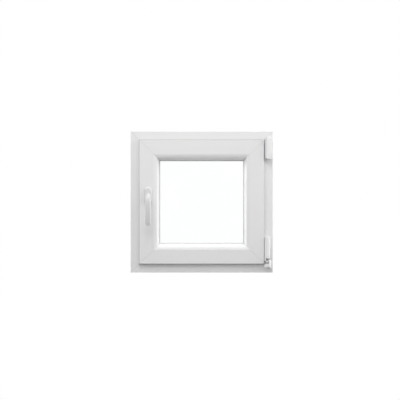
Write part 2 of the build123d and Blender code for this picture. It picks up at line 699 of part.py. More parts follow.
# Stay bearing on the hinge jamb, with its pin
base_x = (TURN_X + BASE_IN, TURN_X + BASE_OUT)
bearing = block(base_x, (-PLATE_BASE, 0), stay_z)
for ear in ((stay_z[0], stay_z[0] + STAY_EAR), (stay_z[1] - STAY_EAR, stay_z[1])):
    bearing += hinge_round(KNUCKLE_R, ear)
    bearing += block((TURN_X, TURN_X + KNUCKLE_R), (HINGE_V, 0), ear)
bearing -= hinge_round(PIN_R + RUN, stay_z)
nodes["stay_bearing"] = bearing
pin = hinge_round(PIN_R, (stay_z[0] - PIN_TAIL, stay_z[1]))
pin += hinge_round(PIN_R + PIN_HEAD, (stay_z[1], stay_z[1] + PIN_HEAD))
nodes["stay_pin"] = pin

# Corner bearing and pivot of the lower hinge
cup_z = (TILT_Z - CUP_DROP, TILT_Z - EYE_R - FLANGE_T)
journal_z = (cup_z[0] + CUP_FLOOR, cup_z[1])
neck_x = span(TURN_X, CUP_NECK)
corner_base_x = (TURN_X - CUP_R, TURN_X + BASE_OUT)
corner = block(corner_base_x, (-PLATE_BASE, 0), cup_z)
corner += hinge_round(CUP_R, cup_z)
corner += block(neck_x, (HINGE_V, 0), cup_z)
corner -= hinge_round(PIVOT_R + RUN, journal_z)
nodes["corner_bearing"] = corner
cheek_in = EYE_HALF + GAP
cheek_out = cheek_in + CHEEK_T
pivot = round_x(EYE_R, span(TURN_X, EYE_HALF), HINGE_V, TILT_Z)
pivot += hinge_round(PIVOT_R, (journal_z[0], TILT_Z))
pivot += hinge_round(CUP_R - FLANGE_T, (cup_z[1], cup_z[1] + FLANGE_T))
pivot += round_x(CROSS_R, span(TURN_X, cheek_out), HINGE_V, TILT_Z)
nodes["corner_pivot"] = pivot

# Hinge band: cheeks on the cross pin, a barrel and a leaf round the sash edge
cheek_r = CROSS_R + CHEEK_WALL
cheek_v = span(HINGE_V, cheek_r)
barrel_low = TILT_Z + EYE_R + CROWN
band_z = (barrel_low + BAND_LOW, BARREL_TOP - BAND_HIGH)
band_x = (right(SASH_REBATE), right(SASH_REBATE) + PLATE_T)
band = hinge_round(BARREL_R, (barrel_low, BARREL_TOP))
for sign in (-1, 1):
    cheek_x = (TURN_X + sign * cheek_in, TURN_X + sign * cheek_out)
    cheek = round_x(cheek_r, cheek_x, HINGE_V, TILT_Z)
    cheek += block(cheek_x, cheek_v, (TILT_Z, barrel_low + CHEEK_T))
    cheek -= round_x(CROSS_R + RUN, cheek_x, HINGE_V, TILT_Z)
    band += cheek
band += block(span(TURN_X, cheek_out), cheek_v, (barrel_low, barrel_low + CHEEK_T))
band += block((TURN_X - BARREL_R, TURN_X), (HINGE_V, leaf_v[1]), band_z)
band += block((right(SASH_REBATE), TURN_X), leaf_v, band_z)
band += block(band_x, (leaf_v[0], seat[1] + BAND_REACH), band_z)
nodes["hinge_band"] = band

# Cover of the hinge band, with a skirt beside the cheeks
cover_low = barrel_low + CHEEK_T + GAP
skirt_z = (TILT_Z + SKIRT_LOW, cover_low)
cover = hinge_round(COVER_R, (cover_low, BARREL_TOP + COVER_T))
cover = fillet(cover.edges().sort_by(Axis.Z)[-1], COVER_ROUND)
skirt = hinge_round(COVER_R, skirt_z) - hinge_round(hypot(cheek_out, cheek_r) + GAP, skirt_z)
cover += skirt & block((TURN_X - COVER_R, TURN_X - SKIRT_IN), span(HINGE_V, COVER_R), skirt_z)
cover -= hinge_round(BARREL_R + GAP, (cover_low, BARREL_TOP))
cover -= block(
    (TURN_X - BARREL_R - GAP, TURN_X + GAP), (HINGE_V, 0), (band_z[0] - GAP, band_z[1] + GAP))
nodes["hinge_band_cover"] = cover

# Cover of the corner bearing, with a wall that rises beside the pivot
cup_cover_z = (cup_z[0] - COVER_T, cup_z[1] - GAP)
shroud_z = (cup_cover_z[0], TILT_Z + SHROUD_TOP)
cup_cover = hinge_round(SHROUD_R, shroud_z)
cup_cover -= hinge_round(SHROUD_R - SHROUD_T, (cup_cover_z[1], shroud_z[1]))
cup_cover &= block((TURN_X + SKIRT_IN, TURN_X + SHROUD_R), span(HINGE_V, SHROUD_R), shroud_z)
cup_cover += hinge_round(CUP_COVER_R, cup_cover_z)
cup_cover += block((TURN_X, TURN_X + SHROUD_R), (-PLATE_BASE - FLAP_T, -PLATE_BASE), cup_cover_z)
cup_cover -= hinge_round(CUP_R + GAP, cup_z)
cup_cover -= block((neck_x[0] - GAP, neck_x[1] + GAP), (HINGE_V, 0), cup_z)
cup_cover -= block(span(TURN_X, REACH), (-PLATE_BASE, REACH), shroud_z)
nodes["corner_bearing_cover"] = cup_cover

# Cover of the stay bearing, open towards the sash
shell_v = (HINGE_V - KNUCKLE_R - GAP - COVER_T, 0)
shell_x = (TURN_X - SHELL_EDGE, base_x[1] + GAP + COVER_T)
shell_z = (stay_z[0] - PIN_TAIL - GAP - COVER_T, stay_z[1] + PIN_HEAD + GAP + COVER_T)
shell = block(shell_x, shell_v, shell_z)
shell = fillet(shell.edges().filter_by(Axis.Z).group_by(Axis.Y)[0].sort_by(Axis.X)[-1:], SHELL_ROUND)
shell -= block(
    (shell_x[0], shell_x[1] - COVER_T), (shell_v[0] + COVER_T, 0),
    (shell_z[0] + COVER_T, shell_z[1] - COVER_T))
nodes["stay_bearing_cover"] = shell

# Keeps in the frame's rebate
cam_face = GROOVE_V - CAM_R
keep_v = (KEEP_EDGE, KEEP_EDGE + KEEP_W)
post_back = keep_v[1] - KEEP_LIP_DEEP
top_keep_x = (top_cam_x - TRAVEL - TOP_KEEP_NEAR, top_cam_x + TOP_KEEP_FAR)
top_lip_v = (cam_face - KEEP_PLAY - KEEP_LIP_T, cam_face - KEEP_PLAY)
top_lip_low = SWING_TOP + GAP
top_post_x = (top_cam_x + KEEP_LIP_HALF, top_cam_x + KEEP_LIP_HALF + KEEP_POST)
top_keep = block(top_keep_x, keep_v, (top(KEEP_U), top(FRAME_LEG)))
top_keep += block((top_cam_x - KEEP_LIP_HALF, top_post_x[1]), top_lip_v, (top_lip_low, top(LIP_U)))
top_keep += block(top_post_x, (top_lip_v[0], post_back), (top_lip_low, top(FRAME_LEG)))
nodes["top_keep"] = top_keep
tilt_lift = (cam_low_z + CAM_R - TILT_Z) * sin(TILT_MAX)
tilt_play = tilt_lift + (GROOVE_V - HINGE_V) * (1 - cos(TILT_MAX)) + GAP
tilt_lip_x = (left(LIP_U), left(SASH_REBATE - KEEP_LIP_DEEP))
tilt_lip_v = (cam_face - tilt_play - KEEP_LIP_T, cam_face - tilt_play)
tilt_keep_z = (FRAME_LEG + 2 * GAP, cam_z + TILT_KEEP_OVER)
tilt_post_top = cam_low_z - CAM_HEAD_R - POST_CLEAR
tilt_post_z = (tilt_post_top - KEEP_POST, tilt_post_top)
tilt_keep = block((left(FRAME_LEG), left(KEEP_U)), keep_v, tilt_keep_z)
tilt_keep += block(tilt_lip_x, tilt_lip_v, (tilt_post_z[0], cam_low_z + KEEP_LIP_HALF))
tilt_keep += block((left(FRAME_LEG), tilt_lip_x[1]), (tilt_lip_v[0], post_back), tilt_post_z)
nodes["tilt_keep"] = tilt_keep


def cut(cutter, *targets):
    """Take a cutter out of pieces held in the given dictionaries."""
    for pieces, key in targets:
        pieces[key] = pieces[key] - cutter


def pan_screw(along, face, way):
    """Screw whose head sits on a face and whose shank runs the given way, and its clearance bore."""
    tip = face + way * SCREW_LONG
    screw = along(SCREW_R, (face, tip)) + along(SCREW_HEAD_R, (face - way * SCREW_HEAD_T, face))
    return screw, along(SCREW_R + GAP, (face, tip + way * GAP))


# Screws of the keeps
keep_screws = []
for x in (top_keep_x[0] + SCREW_INSET, top_keep_x[1] - SCREW_INSET):
    screw, bore = pan_screw(lambda radius, z: round_z(radius, x, GROOVE_V, z), top(KEEP_U), 1)
    keep_screws.append(screw)
    cut(bore, (nodes, "top_keep"), (frame_rails, "top"))
for z in (tilt_keep_z[0] + SCREW_INSET, tilt_keep_z[1] - SCREW_INSET):
    screw, bore = pan_screw(lambda radius, x: round_x(radius, x, GROOVE_V, z), left(KEEP_U), -1)
    keep_screws.append(screw)
    cut(bore, (nodes, "tilt_keep"), (frame_rails, "left"))
nodes["keep_screws"] = together(*keep_screws)


def jamb_screws(x, heights, plate):
    """Screws through a plate on the hinge jamb's room face, into the jamb's steel."""
    screws = []
    for z in heights:
        screw, bore = pan_screw(lambda radius, v: round_y(radius, x, v, z), -PLATE_BASE, 1)
        screws.append(screw)
        cut(bore, (nodes, plate), (frame_rails, "right"), (frame_steel, "right"))
    return together(*screws)


# Screws of the hinges on the jamb, with room for the heads under the corner bearing's cover
stay_screw_x = base_x[1] - BASE_SCREW_INSET
corner_screw_x = corner_base_x[1] - SCREW_INSET
corner_screw_z = (cup_z[0] + CUP_SCREW_INSET, cup_z[1] - CUP_SCREW_INSET)
stay_screw_z = span(sum(stay_z) / 2, STAY_SCREWS / 2)
nodes["stay_bearing_screws"] = jamb_screws(stay_screw_x, stay_screw_z, "stay_bearing")
nodes["corner_bearing_screws"] = jamb_screws(corner_screw_x, corner_screw_z, "corner_bearing")
head_v = (-PLATE_BASE - SCREW_HEAD_T - GAP, -PLATE_BASE)
for z in corner_screw_z:
    cut(round_y(SCREW_HEAD_R + GAP, corner_screw_x, head_v, z), (nodes, "corner_bearing_cover"))

# Screws of the faceplates and the stay guide
plate_screws = []
for z in (cam_z + SIDE_SCREW_LOW, HANDLE_Z + SIDE_SCREW_HIGH):
    screw, bore = pan_screw(lambda radius, x: round_x(radius, x, GROOVE_V, z), left(SASH_REBATE), 1)
    plate_screws.append(screw)
    cut(bore, (nodes, "side_faceplate"), (sash_rails, "left"), (sash_steel, "left"))
    cut(slot_x(SCREW_R + GAP, rod_x, GROOVE_V, (z, z + TRAVEL)), (nodes, "side_rod"))
guide_screw_x = right(SASH_REBATE + SCREW_LONG) - GUIDE_SCREW_END
top_screws = (
    (top_cam_x + TOP_SCREW, "top_faceplate"), (stay_x + GUIDE_SCREW, "stay_guide"),
    (guide_screw_x, "stay_guide"))
for x, plate in top_screws:
    screw, bore = pan_screw(lambda radius, z: round_z(radius, x, GROOVE_V, z), top(SASH_REBATE), -1)
    plate_screws.append(screw)
    cut(bore, (nodes, plate), (sash_rails, "top"), (sash_steel, "top"))
nodes["faceplate_screws"] = together(*plate_screws)

# Screws of the hinge band
band_screws = []
for z in span(sum(band_z) / 2, BAND_SCREWS / 2):
    screw, bore = pan_screw(lambda radius, x: round_x(radius, x, GROOVE_V, z), band_x[1], -1)
    band_screws.append(screw)
    cut(bore, (nodes, "hinge_band"), (sash_rails, "right"), (sash_steel, "right"))
nodes["hinge_band_screws"] = together(*band_screws)

# Room in the sash seal for the hinge band's and the stay arm's leaves
for low, high in (band_z, leaf_z):
    notch = block((right(SASH_REBATE), right(SASH_EDGE)), (LIP_BACK, 0), (low - SLIDE, high + SLIDE))
    sash_seal["right"] -= notch
nodes["sash_seal"] = together(*sash_seal.values())

# Pockets for the gear case and the spindle in the handle stile
pocket_z = (case_z[0] - GAP, case_z[1] + GAP)
cut(block((left(GROOVE_U), left(case_u + GAP)), groove, pocket_z), (sash_rails, "left"))
steel_pocket_v = (sash_steel_v[0], groove[1] + WEB)
cut(block((left(sash_steel_u), left(case_u + WEB)), steel_pocket_v, pocket_z), (sash_steel, "left"))
cut(round_y(HUB_R, HANDLE_X, (ROOM, groove[0]), HANDLE_Z), (sash_rails, "left"))

# Handle base and its two screws into the gear case
base_v = (ROOM - BASE_T, ROOM)
boss_v = (ROOM, ROOM + WALL)
base_w = ROSETTE_W - 2 * ROSETTE_WALL - 2 * GAP
base_h = ROSETTE_H - 2 * ROSETTE_WALL - 2 * GAP
handle_base = stadium(base_w, base_h, HANDLE_X, base_v, HANDLE_Z)
handle_base -= round_y(JOURNAL_R + RUN, HANDLE_X, base_v, HANDLE_Z)
handle_screws = []
for z in handle_screw_z:
    handle_base += round_y(BOSS_R, HANDLE_X, boss_v, z)
    handle_base -= round_y(HANDLE_SCREW_R + GAP, HANDLE_X, (base_v[0], boss_v[1]), z)
    screw = round_y(HANDLE_SCREW_R, HANDLE_X, (base_v[0], case_v[1]), z)
    screw += round_y(HANDLE_HEAD_R, HANDLE_X, (base_v[0] - HANDLE_HEAD_T, base_v[0]), z)
    handle_screws.append(screw)
    cut(round_y(BOSS_R + GAP, HANDLE_X, boss_v, z), (sash_rails, "left"))
    cut(round_y(HANDLE_SCREW_R + GAP, HANDLE_X, (ROOM, groove[0]), z), (sash_rails, "left"))
nodes["handle_base"] = handle_base
nodes["handle_screws"] = together(*handle_screws)

# Rosette, lever and spindle
rosette_front = ROOM - ROSETTE_T
rosette = stadium(ROSETTE_W, ROSETTE_H, HANDLE_X, (rosette_front, ROOM), HANDLE_Z)
rosette = fillet(rosette.faces().sort_by(Axis.Y)[0].edges(), ROSETTE_ROUND)
rosette -= stadium(
    base_w + 2 * GAP, base_h + 2 * GAP, HANDLE_X, (rosette_front + 2 * ROSETTE_WALL, ROOM), HANDLE_Z)
rosette -= round_y(NECK_R + GAP, HANDLE_X, (rosette_front, ROOM), HANDLE_Z)
nodes["handle_rosette"] = rosette
stations = []
for reach, drop, turn, width, thick, corner_r in LEVER:
    centre = (HANDLE_X, y_at(ROOM - reach), HANDLE_Z + drop)
    along = (0, -cos(radians(turn)), -sin(radians(turn)))
    stations.append(Plane(centre, x_dir=(1, 0, 0), z_dir=along) * RectangleRounded(width, thick, corner_r))
lever = loft(stations)
journal_top = base_v[0] - GAP
lever += round_y(NECK_R, HANDLE_X, (ROOM - LEVER[0][0], journal_top), HANDLE_Z)
lever += round_y(JOURNAL_R, HANDLE_X, (journal_top, ROOM - GAP), HANDLE_Z)
spindle_v = (ROOM - SPINDLE_REACH, case_v[1])
lever -= block(square_x, (spindle_v[0], ROOM), square_z)
nodes["handle_lever"] = lever
nodes["handle_spindle"] = block(square_x, spindle_v, square_z)

# Drain slots with hooded caps
drain_caps = []
drain_z = (DRAIN_Z, DRAIN_Z + DRAIN_H)
for sign in (-1, 1):
    drain_x = span(sign * DRAIN_X, DRAIN_W / 2)
    cut(block(drain_x, (FRAME_DEPTH - WALL, FRAME_DEPTH), drain_z), (frame_rails, "bottom"))
    cap_x = (drain_x[0] - HOOD_RIM, drain_x[1] + HOOD_RIM)
    cap_z = (drain_z[0] - HOOD_RIM, drain_z[1] + HOOD_RIM)
    cap = block(cap_x, (FRAME_DEPTH, FRAME_DEPTH + HOOD_DEEP), cap_z)
    cap -= block(drain_x, (FRAME_DEPTH, FRAME_DEPTH + HOOD_DEEP - HOOD_T), (cap_z[0], drain_z[1]))
    drain_caps.append(cap)
nodes["drain_caps"] = together(*drain_caps)

# Fixing holes through the jambs and their steel
fix_v = sum(steel_v) / 2
for z in (FIX_END, FRAME_H - FIX_END):
    for side, place in (("left", left), ("right", right)):
        fix_bore = round_x(FIX_R, (place(0), place(FRAME_LEG)), fix_v, z)
        cut(fix_bore, (frame_rails, side), (frame_steel, side))

nodes["frame_sill_rail"] = frame_rails["bottom"]
nodes["frame_head_rail"] = frame_rails["top"]
nodes["frame_handle_jamb"] = frame_rails["left"]
nodes["frame_hinge_jamb"] = frame_rails["right"]
nodes["frame_reinforcement"] = together(*frame_steel.values())
nodes["sash_bottom_rail"] = sash_rails["bottom"]
nodes["sash_top_rail"] = sash_rails["top"]
nodes["sash_handle_stile"] = sash_rails["left"]
nodes["sash_hinge_stile"] = sash_rails["right"]
nodes["sash_reinforcement"] = together(*sash_steel.values())

for name, shape in nodes.items():
    export_step(shape, f"parts/{name}.step")
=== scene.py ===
"""Looks of the tilt-and-turn window: finishes, small fittings, studio and camera."""
import json
import math

import bmesh
import bpy
from mathutils import Matrix, Vector

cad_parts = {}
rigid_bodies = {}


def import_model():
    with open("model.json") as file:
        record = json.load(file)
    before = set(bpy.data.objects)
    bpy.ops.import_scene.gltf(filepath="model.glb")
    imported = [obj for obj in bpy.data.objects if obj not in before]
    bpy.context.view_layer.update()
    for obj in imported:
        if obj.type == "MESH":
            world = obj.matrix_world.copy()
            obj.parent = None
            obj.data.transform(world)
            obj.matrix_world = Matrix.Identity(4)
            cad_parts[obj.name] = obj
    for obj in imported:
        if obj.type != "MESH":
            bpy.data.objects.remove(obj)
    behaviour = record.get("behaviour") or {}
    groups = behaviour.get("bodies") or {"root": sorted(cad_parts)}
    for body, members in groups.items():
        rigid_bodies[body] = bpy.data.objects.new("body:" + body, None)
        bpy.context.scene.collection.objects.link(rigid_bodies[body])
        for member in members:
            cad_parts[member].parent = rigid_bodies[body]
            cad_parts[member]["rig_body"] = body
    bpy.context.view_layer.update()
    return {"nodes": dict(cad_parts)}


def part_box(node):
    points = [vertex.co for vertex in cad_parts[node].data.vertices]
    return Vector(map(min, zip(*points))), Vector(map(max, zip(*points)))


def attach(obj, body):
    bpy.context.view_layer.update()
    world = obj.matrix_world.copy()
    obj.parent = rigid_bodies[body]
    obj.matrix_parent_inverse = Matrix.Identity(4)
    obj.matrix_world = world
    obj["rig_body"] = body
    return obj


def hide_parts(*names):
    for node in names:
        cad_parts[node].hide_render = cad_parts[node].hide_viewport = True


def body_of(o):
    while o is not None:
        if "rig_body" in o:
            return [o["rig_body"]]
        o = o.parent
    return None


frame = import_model()
nodes = frame["nodes"]

# Corners of the outer frame and of the sash, in metres
FRAME_LOW, FRAME_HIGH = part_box("frame_sill_rail")[0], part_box("frame_head_rail")[1]
SASH_LOW, SASH_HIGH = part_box("sash_handle_stile")[0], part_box("sash_hinge_stile")[1]

# Photograph's framing: image width, and the outer frame's width and centre in it, in pixels
IMAGE_PX = 400
FRAME_WIDE_PX = 142.15
FRAME_CENTRE_PX = (201.7, 202.05)
LENS_MM = 300
SENSOR_MM = 36

# Pieces by finish
LEVEL_RAILS = (
    "frame_sill_rail", "frame_head_rail", "sash_bottom_rail", "sash_top_rail",
    "glazing_bead_bottom", "glazing_bead_top", "drain_caps")
UPRIGHT_RAILS = (
    "frame_handle_jamb", "frame_hinge_jamb", "sash_handle_stile", "sash_hinge_stile",
    "glazing_bead_left", "glazing_bead_right")
GASKETS = ("frame_seal", "sash_seal", "bead_seal", "glazing_seal")
CAPS = ("corner_bearing_cover", "stay_bearing_cover", "hinge_band_cover")
COATED = ("handle_lever", "handle_rosette")
REINFORCEMENTS = ("frame_reinforcement", "sash_reinforcement")
PANES = ("inner_pane", "outer_pane")
SPACERS = ("spacer_bars",)
SEALANTS = ("edge_sealant",)
PACKERS = ("glazing_packers", "handle_base")
SCREWS = (
    "corner_bearing_screws", "faceplate_screws", "handle_screws", "hinge_band_screws", "keep_screws",
    "stay_bearing_screws")
HARDWARE = SCREWS + (
    "corner_bearing", "corner_drive", "corner_pivot", "gear_case", "gear_pinion", "handle_spindle",
    "hinge_band", "side_faceplate", "side_rod", "stay_arm", "stay_bearing", "stay_guide", "stay_link",
    "stay_pin", "tilt_cam", "tilt_keep", "top_cam", "top_faceplate", "top_keep", "top_rod")

# Finishes, as linear colours
PVC_WHITE = (0.86, 0.862, 0.858)
PVC_SHADE = (0.825, 0.828, 0.826)
PVC_SEAM = (0.7, 0.703, 0.7)
CAP_WHITE = (0.88, 0.882, 0.878)
# Handle's white powder coat, made greyer than white as painted shade on the lever and rosette
COAT_WHITE_WITH_PAINTED_SHADE = (0.75, 0.752, 0.748)
COAT_DRIFT_WITH_PAINTED_SHADE = (0.71, 0.713, 0.711)
GASKET_GREY = (0.7, 0.702, 0.7)
GASKET_SHADE = (0.62, 0.622, 0.62)
# Gasket lip: darker than the other gaskets, partly painted shade for the shade line along the sash's edge
LIP_PAINTED_SHADE_GREY = (0.38, 0.382, 0.38)
LIP_PAINTED_SHADE_DRIFT = (0.34, 0.342, 0.34)
ZINC = (0.56, 0.57, 0.58)
ZINC_SHADE = (0.47, 0.48, 0.49)
GALVANISED = (0.6, 0.62, 0.63)
GALVANISED_SHADE = (0.45, 0.47, 0.49)
ALUMINIUM = (0.72, 0.73, 0.74)
ALUMINIUM_SHADE = (0.6, 0.61, 0.62)
SEALANT_BLACK = (0.025, 0.025, 0.026)
SEALANT_SHADE = (0.05, 0.05, 0.05)
PACKER_GREY = (0.3, 0.33, 0.36)
PACKER_SHADE = (0.24, 0.27, 0.3)
GLASS_TINT = (0.985, 1.0, 0.993)
WHITE = (1, 1, 1)

# Surfaces: roughness and its swing, scales of the grain and of the drift in tone, strength of the bump
PVC_SURFACE = {"roughness": 0.36, "swing": 0.05, "grain": 260, "drift": 5, "bump": 0.06}
GASKET_SURFACE = {"roughness": 0.7, "swing": 0.08, "grain": 900, "drift": 12, "bump": 0.15}
CAP_SURFACE = {"roughness": 0.28, "swing": 0.04, "grain": 700, "drift": 20, "bump": 0.05}
COAT_SURFACE = {"roughness": 0.3, "swing": 0.05, "grain": 1100, "drift": 16, "bump": 0.12, "coat": 0.3}
STEEL_SURFACE = {"roughness": 0.45, "swing": 0.1, "grain": 350, "drift": 60, "bump": 0.1, "metallic": 1.0}
SPACER_SURFACE = {"roughness": 0.38, "swing": 0.08, "grain": 900, "drift": 40, "bump": 0.1, "metallic": 1.0}
SEALANT_SURFACE = {"roughness": 0.75, "swing": 0.1, "grain": 500, "drift": 30, "bump": 0.4}
PACKER_SURFACE = {"roughness": 0.55, "swing": 0.08, "grain": 800, "drift": 25, "bump": 0.1}
ZINC_SURFACE = {"roughness": 0.48, "swing": 0.08, "grain": 700, "drift": 45, "bump": 0.1, "metallic": 0.8}
GRAIN_DETAIL = 2
DRIFT_DETAIL = 3
GRAIN_DEEP = 0.0002     # metres
DIE_LINES = 0.02        # scale of the grain along a rail, against 1 across it
GLASS_IOR = 1.5
GLASS_WAVES = 6         # scale of the drift in tint

# Welded mitres, in metres
MID_HEIGHT = (FRAME_LOW.z + FRAME_HIGH.z) / 2
HALF_EXTRA = (FRAME_HIGH.x - FRAME_LOW.x - FRAME_HIGH.z + FRAME_LOW.z) / 2      # wider than high, each side
HALF_SEAM = 0.0015

# Screws: sizes as parts of what their names say, and the thread's pitch in metres
HEAD_CELLS = 9          # across the head; the middle ones make the recess
CROWN_OF_HEAD_HEIGHT = 0.4
RECESS_OF_HEAD_HEIGHT = 0.55
RECESS_OF_HEAD_RADIUS = 0.62
TAPER_OF_HALF_CELL = 0.08
RIM_OF_HEAD_RADIUS = 0.98
ROOT_OF_SHANK_RADIUS = 0.8
TIP_OF_SHANK_RADIUS = 0.35
THREAD_PITCH = 0.0018

# Gasket lip behind the sash's edge, in metres; the dark line it makes is partly painted shade
LIP_FRONT = 0.0035      # in front of the frame's face
LIP_THICK = 0.0015
LIP_BESIDE = 0.001      # shows beside the sash
LIP_ABOVE = 0.002       # shows above and below the sash
LIP_INSIDE = 0.0015     # goes in behind the sash's edge
LIP_STOP = 0.004        # stops short of the hinge side
LIP_ROUND = 0.0004
LIP_ROUND_STEPS = 3
LIP_CORNER = math.radians(60)       # sharper edges are rounded

# New meshes
SAME_PLACE = 1e-6       # metres; nearer corners are one
SHARP = math.radians(32)

# Floor, in metres, and the glow that makes it white to the camera
FLOOR_HALF = 12
FLOOR_DROP = 0.0005     # below the object
FLOOR_GREY = (0.45, 0.45, 0.45)
FLOOR_ROUGHNESS = 0.9
GLOW_SHARE = 0.62       # at the object's foot, 1 further off
GLOW_STRENGTH = 1.36    # at the object's foot, 1 further off
GLOW_FADE = (0.4, 1.2)  # where both start to go to 1, and where they reach it

# Lights: the world's strength, what the lamps face, and each lamp's place, width in metres and watts
WORLD_STRENGTH = 0.2
LAMP_AIM = (0, -0.03, 0.28)
LAMPS = {
    "front_top": ((-0.35, -1.44, 2.44), 1.6, 34.5),
    "right_front": ((1.51, -1.7, 1.58), 1.3, 9.5),
    "left_front": ((-1.73, -1.76, 1.17), 1.3, 10),
    "right_side": ((2.39, -0.54, 1.17), 1.3, 27),
    "left_side": ((-2.41, -0.45, 1.17), 1.3, 6),
    "back_left": ((-2.12, 1.45, 0.55), 1.3, 15),
    "back_right": ((2.12, 1.45, 0.55), 1.3, 16),
    "back_top": ((0, 2.35, 1.34), 1.2, 16),
}


def math_node(tree, operation, first, second=None):
    """Output of a Math node on a socket and, where there is one, a second socket or a number."""
    node = tree.nodes.new("ShaderNodeMath")
    node.operation = operation
    tree.links.new(first, node.inputs[0])
    if isinstance(second, (int, float)):
        node.inputs[1].default_value = second
    elif second is not None:
        tree.links.new(second, node.inputs[1])
    return node.outputs[0]


def smooth_fade(tree, value, start, stop, first, last):
    """Output that goes smoothly from first to last while a value goes from start to stop."""
    fade = tree.nodes.new("ShaderNodeMapRange")
    fade.interpolation_type = "SMOOTHSTEP"
    fade.inputs["From Min"].default_value = start
    fade.inputs["From Max"].default_value = stop
    fade.inputs["To Min"].default_value = first
    fade.inputs["To Max"].default_value = last
    tree.links.new(value, fade.inputs["Value"])
    return fade.outputs["Result"]


def mixed_colour(tree, factor, first, second):
    """Colour between a first one, plain or from a socket, and a plain second one."""
    mix = tree.nodes.new("ShaderNodeMix")
    mix.data_type = "RGBA"
    tree.links.new(factor, mix.inputs["Factor"])
    if isinstance(first, bpy.types.NodeSocket):
        tree.links.new(first, mix.inputs["A"])
    else:
        mix.inputs["A"].default_value = (*first, 1)
    mix.inputs["B"].default_value = (*second, 1)
    return mix.outputs["Result"]


def mixed_surface(tree, factor, first, second, output):
    """Mix of two shaders as the surface of an output node."""
    mix = tree.nodes.new("ShaderNodeMixShader")
    tree.links.new(factor, mix.inputs["Fac"])
    tree.links.new(first, mix.inputs[1])
    tree.links.new(second, mix.inputs[2])
    tree.links.new(mix.outputs["Shader"], tree.nodes[output].inputs["Surface"])


def backdrop_mask(tree):
    """Mask that is 1 for rays that should see the plain white background."""
    path = tree.nodes.new("ShaderNodeLightPath")
    seen = math_node(tree, "MAXIMUM", path.outputs["Is Camera Ray"], path.outputs["Is Glossy Ray"])
    return math_node(tree, "MAXIMUM", seen, path.outputs["Is Transmission Ray"])


def effect_group(name, vectors, values, outputs):
    """Group for a shared effect, with named vector and value inputs, and its start and end nodes."""
    group = bpy.data.node_groups.new(name, "ShaderNodeTree")
    for label in vectors:
        group.interface.new_socket(label, in_out="INPUT", socket_type="NodeSocketVector")
    for label in values:
        group.interface.new_socket(label, in_out="INPUT", socket_type="NodeSocketFloat")
    for label in outputs:
        group.interface.new_socket(label, in_out="OUTPUT", socket_type="NodeSocketFloat")
    return group, group.nodes.new("NodeGroupInput"), group.nodes.new("NodeGroupOutput")


def grain_group():
    """Shared effect: a fine surface grain along a stretched pattern, and a broad drift in tone."""
    group, start, end = effect_group(
        "surface_grain", ("Vector", "Stretch"), ("Grain Scale", "Drift Scale"), ("Height", "Drift"))
    stretched = group.nodes.new("ShaderNodeVectorMath")
    stretched.operation = "MULTIPLY"
    group.links.new(start.outputs["Vector"], stretched.inputs[0])
    group.links.new(start.outputs["Stretch"], stretched.inputs[1])
    grain = group.nodes.new("ShaderNodeTexNoise")
    grain.inputs["Detail"].default_value = GRAIN_DETAIL
    group.links.new(stretched.outputs[0], grain.inputs["Vector"])
    group.links.new(start.outputs["Grain Scale"], grain.inputs["Scale"])
    group.links.new(grain.outputs["Fac"], end.inputs["Height"])
    drift = group.nodes.new("ShaderNodeTexNoise")
    drift.inputs["Detail"].default_value = DRIFT_DETAIL
    group.links.new(start.outputs["Vector"], drift.inputs["Vector"])
    group.links.new(start.outputs["Drift Scale"], drift.inputs["Scale"])
    group.links.new(drift.outputs["Fac"], end.inputs["Drift"])
    return group


def seam_group():
    """Shared effect: a mask along the mitres, where the welded corners hold a thin darker line."""
    group, start, end = effect_group("weld_seam", ("Vector",), (), ("Seam",))
    parts = group.nodes.new("ShaderNodeSeparateXYZ")
    group.links.new(start.outputs["Vector"], parts.inputs[0])
    across = math_node(group, "ABSOLUTE", parts.outputs["X"])
    height = math_node(group, "ABSOLUTE", math_node(group, "SUBTRACT", parts.outputs["Z"], MID_HEIGHT))
    apart = math_node(group, "ADD", math_node(group, "SUBTRACT", height, across), HALF_EXTRA)
    seam = smooth_fade(group, math_node(group, "ABSOLUTE", apart), 0, HALF_SEAM, 1, 0)
    group.links.new(seam, end.inputs["Seam"])
    return group


def new_material(name):
    """Material with its node tree and its shader."""
    material = bpy.data.materials.new(name)
    material.use_nodes = True
    return material, material.node_tree, material.node_tree.nodes["Principled BSDF"]


def finish_material(
        name, colour, shade, roughness, swing, grain, drift, bump, metallic=0.0, coat=0.0,
        stretch=(1, 1, 1), seam=None):
    """Finish with a fine grain and a drift in tone, and a line on the welds where it has a seam colour."""
    material, tree, shader = new_material(name)
    shader.inputs["Metallic"].default_value = metallic
    shader.inputs["Coat Weight"].default_value = coat
    place = tree.nodes.new("ShaderNodeTexCoord")
    surface = tree.nodes.new("ShaderNodeGroup")
    surface.node_tree = GRAIN
    surface.inputs["Stretch"].default_value = stretch
    surface.inputs["Grain Scale"].default_value = grain
    surface.inputs["Drift Scale"].default_value = drift
    tree.links.new(place.outputs["Object"], surface.inputs["Vector"])
    tone = mixed_colour(tree, surface.outputs["Drift"], colour, shade)
    if seam:
        welds = tree.nodes.new("ShaderNodeGroup")
        welds.node_tree = SEAM
        tree.links.new(place.outputs["Object"], welds.inputs["Vector"])
        tone = mixed_colour(tree, welds.outputs["Seam"], tone, seam)
    tree.links.new(tone, shader.inputs["Base Color"])
    gloss = tree.nodes.new("ShaderNodeMapRange")
    gloss.inputs["To Min"].default_value = roughness - swing
    gloss.inputs["To Max"].default_value = roughness + swing
    tree.links.new(surface.outputs["Height"], gloss.inputs["Value"])
    tree.links.new(gloss.outputs["Result"], shader.inputs["Roughness"])
    raised = tree.nodes.new("ShaderNodeBump")
    raised.inputs["Strength"].default_value = bump
    raised.inputs["Distance"].default_value = GRAIN_DEEP
    tree.links.new(surface.outputs["Height"], raised.inputs["Height"])
    tree.links.new(raised.outputs["Normal"], shader.inputs["Normal"])
    return material


